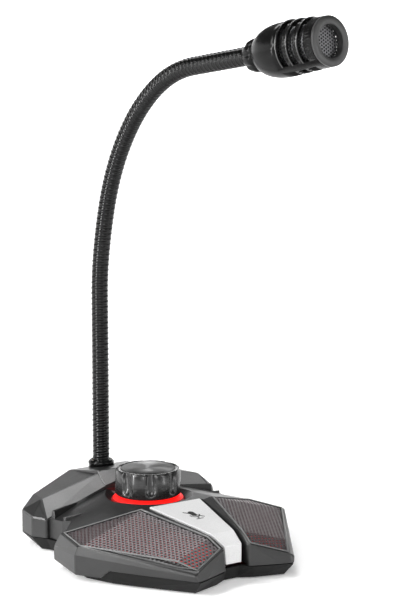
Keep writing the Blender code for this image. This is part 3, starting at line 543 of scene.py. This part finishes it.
def make_object(name, bm, finish, smooth_deg=SHEET_SMOOTH):
    bmesh.ops.recalc_face_normals(bm, faces=bm.faces)
    mesh = bpy.data.meshes.new(name)
    bm.to_mesh(mesh)
    bm.free()
    mesh.materials.append(finish)
    piece = bpy.data.objects.new(name, mesh)
    bpy.context.scene.collection.objects.link(piece)
    mesh.shade_smooth()
    mesh.set_sharp_from_angle(angle=math.radians(smooth_deg))
    return piece


def place(piece, body, slot, *replaced):
    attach(piece, body)
    if replaced:
        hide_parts(*replaced)
    return piece


def new_verts(extruded):
    return [item for item in extruded if isinstance(item, bmesh.types.BMVert)]


def cut_outside(bm, outline):
    """Keep only what lies inside a convex, counter-clockwise plan outline."""
    for a, b in zip(outline, outline[1:] + outline[:1]):
        along = (b - a).normalized()
        geometry = bm.verts[:] + bm.edges[:] + bm.faces[:]
        bmesh.ops.bisect_plane(bm, geom=geometry, plane_co=(a.x, a.y, 0),
                               plane_no=(along.y, -along.x, 0), clear_outer=True)


def thicken(bm, offset):
    """Give an open sheet a second skin moved by `offset(vert)` and close its borders."""
    bmesh.ops.dissolve_degenerate(bm, edges=bm.edges, dist=DEGENERATE)
    grown = bmesh.ops.extrude_face_region(bm, geom=bm.faces[:], use_keep_orig=True)["geom"]
    for vert in new_verts(grown):
        vert.co += offset(vert)


def join_rings(bm, rings):
    """Faces between each ring of vertices and the next."""
    sides = len(rings[0])
    for low, high in zip(rings, rings[1:]):
        for k in range(sides):
            m = (k + 1) % sides
            bm.faces.new((low[k], low[m], high[m], high[k]))


def smooth_round_nodes():
    """Same shapes with welded corners, shaded smooth across their shallow edges."""
    for node, body, slot in ROUND_NODES:
        bm = bmesh.new()
        bm.from_mesh(frame["nodes"][node].data)
        bmesh.ops.remove_doubles(bm, verts=bm.verts, dist=WELD)
        piece = make_object(f"{node}_smooth", bm, MATERIALS[slot], ROUND_SMOOTH)
        place(piece, body, slot, node)


# ---------------------------------------------------------------- perforated sheets


def hexagon_sheet(centres, pitch_x, pitch_y, hole):
    """Flat sheet of hexagon cells, each with a round hole; cells share their borders."""
    bm = bmesh.new()
    side = pitch_x / math.sqrt(3)
    squash = pitch_y / (1.5 * side)
    corner_angles = [math.radians(60 * k + 30) for k in range(7)]
    hexagon = [Vector((math.cos(a), math.sin(a))) * side for a in corner_angles]
    border = []
    for first, second in zip(hexagon, hexagon[1:]):
        border += [first, (first + second) / 2]
    for x, y in centres:
        outer = [bm.verts.new((x + p.x, y + p.y * squash, 0)) for p in border]
        inner = [bm.verts.new((x + p.x / p.length * hole, y + p.y / p.length * hole, 0))
                 for p in border]
        for k in range(len(border)):
            m = (k + 1) % len(border)
            bm.faces.new((outer[k], outer[m], inner[m], inner[k]))
    bmesh.ops.remove_doubles(bm, verts=bm.verts, dist=pitch_x * CELL_WELD)
    return bm


def hex_centres(low, high, pitch_x, pitch_y):
    """Cell centres, in rows staggered by half a pitch, that cover a box of the plan."""
    rows = range(int(low[1] // pitch_y) - 1, int(high[1] // pitch_y) + 2)
    columns = range(int(low[0] // pitch_x) - 2, int(high[0] // pitch_x) + 2)
    return [((c + 0.5 * (r % 2)) * pitch_x, r * pitch_y) for r in rows for c in columns]


def build_grille(node):
    """Perforated steel panel that follows the wing's folded facets."""
    outline = [Vector(p) for p in plan_outline(node)]
    planes = upward_planes(node)
    low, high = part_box(node)
    centres = hex_centres(low, high, GRILLE_PITCH_X, GRILLE_PITCH_Y)
    bm = hexagon_sheet(centres, GRILLE_PITCH_X, GRILLE_PITCH_Y, GRILLE_HOLE)
    cut_outside(bm, outline)
    for vert in bm.verts:
        vert.co.z = surface_height(planes, vert.co.x, vert.co.y)
    thicken(bm, lambda vert: Vector((0, 0, -GRILLE_SHEET)))
    panel = make_object(f"{node}_perforated", bm, MATERIALS["grille_metal"])
    return place(panel, "base", "grille_metal", node)


def swept_loop(points, radius, lift):
    """Closed bead along a polygon, with mitred corners; `lift` is its section's up direction."""
    bm = bmesh.new()
    rings = []
    count = len(points)
    for i in range(count):
        before, here, after = (points[(i + k) % count] for k in (-1, 0, 1))
        into = (here - before).normalized()
        out = (after - here).normalized()
        along = (into + out).normalized()
        across = along.cross(lift).normalized()
        stretch = 1.0 / max(BEAD_MITRE, along.dot(into))
        ring = []
        for k in range(BEAD_SIDES):
            a = 2 * math.pi * k / BEAD_SIDES
            sideways = across * (radius * stretch * math.cos(a))
            ring.append(bm.verts.new(here + sideways + lift * (radius * math.sin(a))))
        rings.append(ring)
    join_rings(bm, rings + rings[:1])
    return bm


def build_rim_bead(node):
    """Raised bead on the shell around one grille; its light grey is a painted highlight along the
    grille's edge.
    """
    planes = upward_planes(node)
    outline = offset_outline(plan_outline(node), -BEAD_OUT)
    points = []
    for a, b in zip(outline, outline[1:] + outline[:1]):
        steps = max(1, round((b - a).length / BEAD_STEP))
        for k in range(steps):
            p = a.lerp(b, k / steps)
            points.append(Vector((p.x, p.y, surface_height(planes, p.x, p.y) + BEAD_RISE)))
    bm = swept_loop(points, BEAD_RADIUS, Vector((0, 0, 1)))
    bead = make_object(f"{node}_rim", bm, RIM_HIGHLIGHT_FINISH, BEAD_SMOOTH)
    return place(bead, "base", "shell_plastic")


def build_strip_grey_layer():
    """Lighter grey layer on the faces of the hood's strip that face forward and up."""
    low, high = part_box("upper_shell")
    foot = low[2] + STRIP_ABOVE * (high[2] - low[2])
    front = box_centre("knob").y
    facing = Vector(STRIP_FACING).normalized()
    bm = bmesh.new()
    bm.from_mesh(frame["nodes"]["upper_shell"].data)
    bm.normal_update()

    def is_strip(face):
        middle = face.calc_center_median()
        faces_forward = face.normal.dot(facing) > STRIP_MATCH
        return faces_forward and middle.z > foot and middle.y > front

    bmesh.ops.delete(bm, geom=[f for f in bm.faces if not is_strip(f)], context="FACES")
    bmesh.ops.dissolve_limit(bm, angle_limit=math.radians(STRIP_FLAT), verts=bm.verts,
                             edges=bm.edges)
    for vert in bm.verts:
        vert.co += vert.normal * STRIP_LAYER
    thicken(bm, lambda vert: facing * (-2 * STRIP_LAYER))
    grey_layer = make_object("hood_strip_trim", bm, STRIP_GREY_FINISH)
    return place(grey_layer, "base", "shell_plastic")


# ---------------------------------------------------------------- gooseneck


class Centreline:
    """The neck's centre curve: a straight run, arcs from hinge to hinge, a straight end."""

    def __init__(self):
        names = ["neck_bend"] + [f"neck_bend_{k}" for k in range(2, NECK_PIECES)]
        points = [joint_point("neck_lean")] + [joint_point(name) for name in names]
        self.side = joint_axis("neck_bend")
        head_start, head_end = (box_centre(n) for n in ("head_nut", "front_mesh"))
        self.head_axis = (head_end - head_start).normalized()
        self.pieces = []
        tangent = (points[1] - points[0]).normalized()
        socket_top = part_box("neck_socket")[1][2]
        start = points[0] + tangent * ((socket_top - points[0].z) / tangent.z)
        self.add_line(start, points[1], tangent)
        for a, b in zip(points[1:], points[2:]):
            tangent = self.add_arc(a, b, tangent)
        end = self.arc_end(points[-1], tangent, head_start)
        self.add_arc(points[-1], end, tangent)
        nut = head_start - self.head_axis * self.nut_reach()
        self.add_line(end, nut, self.head_axis)
        self.hinges = [self.distance_to(p) for p in points]
        self.hinge_points = points

    def nut_reach(self):
        """Distance from the nut's centre back to its rear face."""
        shift = corners("head_nut") - np.array(box_centre("head_nut"))
        return -float((shift @ np.array(self.head_axis)).min())

    def arc_end(self, start, tangent, target):
        """Where the last arc meets the head's axis line."""
        gap = target - start
        head = self.head_axis
        c = tangent.dot(head)
        reach = (gap.dot(tangent) - gap.dot(head) * c) / (1 - c * c)
        corner = start + tangent * reach
        return corner + head * reach

    def add_line(self, a, b, tangent):
        self.pieces.append(("line", a, tangent, (b - a).length, 0.0))

    def add_arc(self, a, b, tangent):
        """Arc from a to b that leaves a along the tangent; gives the tangent at b."""
        chord = b - a
        direction = chord.normalized()
        half = math.acos(max(-1.0, min(1.0, direction.dot(tangent))))
        sense = 1.0 if tangent.cross(direction).dot(self.side) > 0 else -1.0
        length = chord.length * half / math.sin(half) if half > STRAIGHT else chord.length
        self.pieces.append(("arc", a, tangent, length, 2 * half * sense))
        return direction * (2 * direction.dot(tangent)) - tangent

    @property
    def length(self):
        return sum(piece[3] for piece in self.pieces)

    def at(self, s):
        """Position and tangent at distance s from the start."""
        for piece in self.pieces:
            kind, origin, tangent, length, turn = piece
            if s <= length + 1e-9 or piece is self.pieces[-1]:
                break
            s -= length
        if kind == "line":
            return origin + tangent * s, tangent
        angle = turn * s / length
        radius = length / turn
        normal = self.side.cross(tangent)
        ahead = tangent * (radius * math.sin(angle))
        position = origin + ahead + normal * (radius * (1 - math.cos(angle)))
        return position, tangent * math.cos(angle) + normal * math.sin(angle)

    def distance_to(self, point):
        steps = np.arange(0.0, self.length, HINGE_SEARCH)
        return min(steps, key=lambda s: (self.at(s)[0] - point).length)


def wire_radius(phase):
    """Section of the winding over one pitch: a round wire, then a flatter wedge wire."""
    phase = phase % 1.0
    if phase < ROUND_SHARE:
        t = 2 * phase / ROUND_SHARE - 1
        return NECK_VALLEY + (NECK_CREST - NECK_VALLEY) * (1 - t * t)
    t = 2 * (phase - ROUND_SHARE) / (1 - ROUND_SHARE) - 1
    return NECK_VALLEY + (NECK_WEDGE - NECK_VALLEY) * (1 - abs(t))


def wound_surface(line, start, end):
    """Closed mesh of the wound wires between two distances along the neck."""
    bm = bmesh.new()
    rows = NECK_SAMPLES
    first = int(start / NECK_PITCH * rows) - rows - 2
    last = int(end / NECK_PITCH * rows) + 3
    grid = {}
    for i in range(first, last + rows + 1):
        phase = NECK_PHASES[i % rows]
        for j in range(NECK_SIDES):
            s = (i // rows + phase + j / NECK_SIDES) * NECK_PITCH
            clipped = min(max(s, start), end)
            centre, tangent = line.at(clipped)
            here = phase if clipped == s else clipped / NECK_PITCH - j / NECK_SIDES
            a = 2 * math.pi * j / NECK_SIDES
            out = line.side * math.cos(a) + tangent.cross(line.side) * math.sin(a)
            grid[i, j] = bm.verts.new(centre + out * wire_radius(here))
    for i in range(first, last):
        for j in range(NECK_SIDES):
            # past the last side, the helix goes on one pitch further along
            beside = (i, j + 1) if j + 1 < NECK_SIDES else (i + rows, 0)
            above = (beside[0] + 1, beside[1])
            bm.faces.new((grid[i, j], grid[beside], grid[above], grid[i + 1, j]))
    bmesh.ops.remove_doubles(bm, verts=bm.verts, dist=WELD)
    loose = [v for v in bm.verts if not v.link_faces]
    bmesh.ops.delete(bm, geom=loose, context="VERTS")
    bmesh.ops.holes_fill(bm, edges=[e for e in bm.edges if e.is_boundary], sides=0)
    return bm


def build_gooseneck():
    """The winding in one piece for each hinge, cut halfway between neighbouring hinges."""
    line = Centreline()
    hinges = line.hinges
    cuts = [0.0] + [(a + b) / 2 for a, b in zip(hinges, hinges[1:])] + [line.length]
    for k in range(NECK_PIECES):
        bm = wound_surface(line, cuts[k], cuts[k + 1])
        piece = make_object(f"gooseneck_winding_{k + 1}", bm, MATERIALS["neck_metal"],
                            WIRE_SMOOTH)
        tangent = line.at(hinges[k])[1]
        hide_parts(f"gooseneck_{k + 1}")
        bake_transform(piece)
    return line


# ---------------------------------------------------------------- knob face


def knob_top_outline(tree, centre, start, top):
    """The knob's top outline around its centre, drawn in by the black border."""
    outline = []
    for k in range(FACE_SIDES):
        a = 2 * math.pi * k / FACE_SIDES
        radius = start
        while radius <= start + FACE_REACH:
            above = Vector((centre.x + radius * math.cos(a), centre.y + radius * math.sin(a),
                            top + FACE_LOOKDOWN))
            hit = tree.ray_cast(above, Vector((0, 0, -1)))[0]
            if hit is None or hit.z < top - FACE_STEP:
                break
            radius += FACE_STEP
        radius -= FACE_BORDER
        outline.append((radius * math.cos(a), radius * math.sin(a)))
    return outline


def build_knob_face():
    """Turned disc that covers the knob's top up to a thin black border, flutes included."""
    knob = frame["nodes"]["knob"].data
    tree = BVHTree.FromPolygons([v.co for v in knob.vertices],
                                [tuple(p.vertices) for p in knob.polygons])
    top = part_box("knob")[1][2]
    centre = box_centre("knob_cap")
    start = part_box("knob_cap")[1][0] - centre.x + FACE_LEAD
    outline = knob_top_outline(tree, centre, start, top)
    bm = bmesh.new()
    hub = bm.verts.new((0, 0, FACE_HEIGHT))
    rings = [[bm.verts.new((x * share, y * share, height * FACE_HEIGHT)) for x, y in outline]
             for share, height in FACE_RINGS]
    for k in range(FACE_SIDES):
        bm.faces.new((hub, rings[0][k], rings[0][(k + 1) % FACE_SIDES]))
    join_rings(bm, rings)
    bm.faces.new(rings[-1])
    bmesh.ops.translate(bm, vec=(centre.x, centre.y, top), verts=bm.verts)
    face = make_object("knob_turned_face", bm, MATERIALS["turned_metal"], BEAD_SMOOTH)
    return place(face, "volume_knob", "turned_metal", "knob_cap")


# ---------------------------------------------------------------- head mesh


def head_matrix(line):
    """Local frame of the head: z along its axis, x to its underside."""
    z = line.head_axis
    y = line.side
    return Matrix((y.cross(z), y, z)).transposed()


def in_head_frame(node, origin, turn):
    """A node's vertices in the head's local frame, with their distances from its axis."""
    local = (corners(node) - np.array(origin)) @ np.array(turn)
    return local, np.hypot(local[:, 0], local[:, 1])


def build_front_mesh(line):
    """Flat round mesh behind the front ring."""
    turn = head_matrix(line)
    centre = box_centre("front_mesh")
    local, radii = in_head_frame("front_mesh", centre, turn)
    radius = float(radii.max())
    front = float(local[:, 2].max())
    row_pitch = MESH_PITCH * math.sqrt(3) / 2
    centres = hex_centres((-radius, -radius), (radius, radius), MESH_PITCH, row_pitch)
    bm = hexagon_sheet(centres, MESH_PITCH, row_pitch, MESH_HOLE)
    angles = [2 * math.pi * k / MESH_DISC_SIDES for k in range(MESH_DISC_SIDES)]
    cut_outside(bm, [Vector((radius * math.cos(a), radius * math.sin(a))) for a in angles])
    for vert in bm.verts:
        vert.co.z = front
    thicken(bm, lambda vert: Vector((0, 0, -MESH_SHEET)))
    bm.transform(Matrix.Translation(centre) @ turn.to_4x4())
    mesh = make_object("front_mesh_wire", bm, MATERIALS["mesh_metal"])
    return place(mesh, "head", "mesh_metal", "front_mesh")


def build_sleeve(line):
    """Perforated sleeve behind the head's slots, in a lighter copy of the mesh metal that paints
    the highlights on its hole edges.
    """
    turn = head_matrix(line)
    centre = box_centre("head_mesh_sleeve")
    local, radii = in_head_frame("head_mesh_sleeve", centre, turn)
    radius = float(radii.max())
    low, high = float(local[:, 2].min()), float(local[:, 2].max())
    around = 2 * round(2 * math.pi * radius / MESH_PITCH / 2)
    pitch = 2 * math.pi * radius / around
    row_pitch = pitch * math.sqrt(3) / 2
    rows = int((high - low) / row_pitch)
    centres = [((c + 0.5 * (r % 2)) * pitch, low + (r + 0.5) * row_pitch)
               for r in range(rows) for c in range(around)]
    bm = hexagon_sheet(centres, pitch, row_pitch, MESH_HOLE)
    for vert in bm.verts:
        a = vert.co.x / radius
        vert.co = Vector((radius * math.cos(a), radius * math.sin(a), vert.co.y))
    bmesh.ops.remove_doubles(bm, verts=bm.verts, dist=pitch * CELL_WELD)
    thicken(bm, lambda vert: Vector((-vert.co.x, -vert.co.y, 0)).normalized() * MESH_SHEET)
    bm.transform(Matrix.Translation(centre) @ turn.to_4x4())
    sleeve = make_object("head_sleeve_wire", bm, SLEEVE_HIGHLIGHT_FINISH)
    return place(sleeve, "head", "mesh_metal", "head_mesh_sleeve")


def build_slot_lips(line):
    """Rounded lips along the rear edges of the head's slots."""
    turn = head_matrix(line)
    start = box_centre("head_nut") - line.head_axis * line.nut_reach()
    local, radii = in_head_frame("head_shell", start, turn)
    half = math.radians(SLOT_HALF_ARC)
    section = [2 * math.pi * j / LIP_SIDES for j in range(LIP_SIDES)]
    bm = bmesh.new()
    for k in range(SLOT_COUNT):
        z = SLOT_FIRST + k * SLOT_PITCH
        near = radii[np.abs(local[:, 2] - z) < SLOT_REACH]
        radius = float(near.max()) - LIP_RADIUS
        rings = []
        for i in range(LIP_STEPS + 1):
            a = -half + 2 * half * i / LIP_STEPS
            out = Vector((-math.cos(a), math.sin(a), 0))
            middle = out * radius + Vector((0, 0, z))
            ring = []
            for b in section:
                shift = out * math.cos(b) + Vector((0, 0, math.sin(b)))
                ring.append(bm.verts.new(middle + shift * LIP_RADIUS))
            rings.append(ring)
        join_rings(bm, rings)
        bm.faces.new(rings[0])
        bm.faces.new(rings[-1])
    bm.transform(Matrix.Translation(start) @ turn.to_4x4())
    lips = make_object("head_slot_lips", bm, LIP_FINISH, BEAD_SMOOTH)
    return place(lips, "head", "head_plastic")


# ---------------------------------------------------------------- mute symbol


def raised_shape(bm, outline, height):
    face = bm.faces.new([bm.verts.new((x, y, 0.0)) for x, y in outline])
    grown = bmesh.ops.extrude_face_region(bm, geom=[face], use_keep_orig=True)["geom"]
    bmesh.ops.translate(bm, vec=(0, 0, height), verts=new_verts(grown))


def arc_points(radius, start_deg, end_deg, steps, centre):
    turn = [math.radians(start_deg + (end_deg - start_deg) * k / steps) for k in range(steps + 1)]
    return [(centre[0] + radius * math.cos(a), centre[1] + radius * math.sin(a)) for a in turn]


def symbol_outlines():
    """A struck-out microphone, in units of ICON_UNIT."""
    upper, lower = (0, 1.6), (0, -0.4)
    capsule = arc_points(1.0, 0, 180, 10, upper) + arc_points(1.0, 180, 360, 10, lower)
    cradle = arc_points(1.9, 180, 360, 16, lower) + arc_points(1.45, 360, 180, 16, lower)
    stem = [(-0.25, -3.4), (0.25, -3.4), (0.25, -2.2), (-0.25, -2.2)]
    foot = [(-1.3, -3.85), (1.3, -3.85), (1.3, -3.4), (-1.3, -3.4)]
    slash = [(-2.5, 2.5), (-2.15, 2.85), (2.5, -2.6), (2.15, -2.95)]
    return capsule, cradle, stem, foot, slash


def build_mute_symbol():
    """The generic mute symbol, printed on the plate's flattest facet."""
    bm = bmesh.new()
    for outline in symbol_outlines():
        raised_shape(bm, [(x * ICON_UNIT, y * ICON_UNIT) for x, y in outline], ICON_HEIGHT)
    point, normal = max(upward_planes("mute_plate"), key=lambda plane: plane[1].z)
    low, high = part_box("mute_plate")
    x = (low[0] + high[0]) / 2 + ICON_SIDE
    y = high[1] - ICON_BACK * (high[1] - low[1])
    z = surface_height([(point, normal)], x, y)
    up = Vector((0, 1, 0)) - normal * normal.y
    up.normalize()
    turn = Matrix((up.cross(normal), up, normal)).transposed().to_4x4()
    sunk = Vector((x, y, z)) - normal * (ICON_HEIGHT / 2)
    bm.transform(Matrix.Translation(sunk) @ turn)
    symbol = make_object("mute_symbol", bm, ICON_FINISH)
    return place(symbol, "mute_button", "white_plate")


# ---------------------------------------------------------------- stage


def studio_white():
    """White paint that stays white far away, where the lamps no longer reach."""
    shader = Shader("studio_white", Roughness=0.8, Emission_Color=(1, 1, 1, 1))
    shader.colour(shader.ramp(shader.noise(scale=3.0, detail=2.0), (0.3, 0.88), (0.7, 0.9)))
    away = shader.add("ShaderNodeVectorMath", operation="LENGTH")
    shader.link(shader.position, away.inputs[0])
    glow = shader.fade(away.outputs["Value"], *FLOOR_FADE, low=FLOOR_GLOW, high=1.0)
    shader.link(glow, shader.principled.inputs["Emission Strength"])
    return shader.material


def build_floor():
    """A white floor that turns up into a white wall all round."""
    bm = bmesh.new()
    bmesh.ops.create_circle(bm, cap_ends=True, radius=FLOOR_RADIUS, segments=FLOOR_SEGMENTS)
    rim = bmesh.ops.extrude_edge_only(bm, edges=bm.edges[:])["geom"]
    for vert in new_verts(rim):
        vert.co.z += WALL_HEIGHT
    make_object("studio_floor", bm, studio_white())


def area_light(name, position, target, size, power):
    data = bpy.data.lights.new(name, "AREA")
    data.shape = "RECTANGLE"
    data.size, data.size_y = size
    data.energy = power
    light = bpy.data.objects.new(name, data)
    bpy.context.scene.collection.objects.link(light)
    light.location = position
    light.rotation_mode = "QUATERNION"
    light.rotation_quaternion = (target - position).to_track_quat("-Z", "Y")


def build_lights():
    world = bpy.data.worlds.new("studio_air")
    world.use_nodes = True
    background = world.node_tree.nodes["Background"]
    background.inputs["Color"].default_value = (1, 1, 1, 1)
    background.inputs["Strength"].default_value = WORLD_LEVEL
    bpy.context.scene.world = world
    middle = (Vector(cad_box[0]) + Vector(cad_box[1])) / 2
    for name, direction, distance, size, level in LIGHTS:
        position = middle + Vector(direction).normalized() * distance
        area_light(name, position, middle, size, level * math.pi * distance**2)


def build_camera():
    """The photograph's viewpoint, with plain, uncompressed tones."""
    data = bpy.data.cameras.new("camera")
    data.sensor_width = CAMERA_SENSOR
    data.lens = CAMERA_LENS
    data.clip_start = CAMERA_CLIP
    camera = bpy.data.objects.new("camera", data)
    bpy.context.scene.collection.objects.link(camera)
    azimuth, pitch = math.radians(CAMERA_AZIMUTH), math.radians(CAMERA_PITCH)
    level = math.cos(pitch)
    back = Vector((math.sin(azimuth) * level, -math.cos(azimuth) * level, math.sin(pitch)))
    camera.location = CAMERA_PLACE
    camera.rotation_mode = "QUATERNION"
    camera.rotation_quaternion = (-back).to_track_quat("-Z", "Y")
    bpy.context.scene.camera = camera
    bpy.context.scene.view_settings.view_transform = "Standard"


# ---------------------------------------------------------------- the whole scene

dress_frame()
smooth_round_nodes()
for wing in ("left_grille", "right_grille"):
    build_grille(wing)
    build_rim_bead(wing)
build_knob_face()
neck = build_gooseneck()
build_front_mesh(neck)
build_sleeve(neck)
build_slot_lips(neck)
build_strip_grey_layer()
build_mute_symbol()
build_floor()
build_lights()
build_camera()
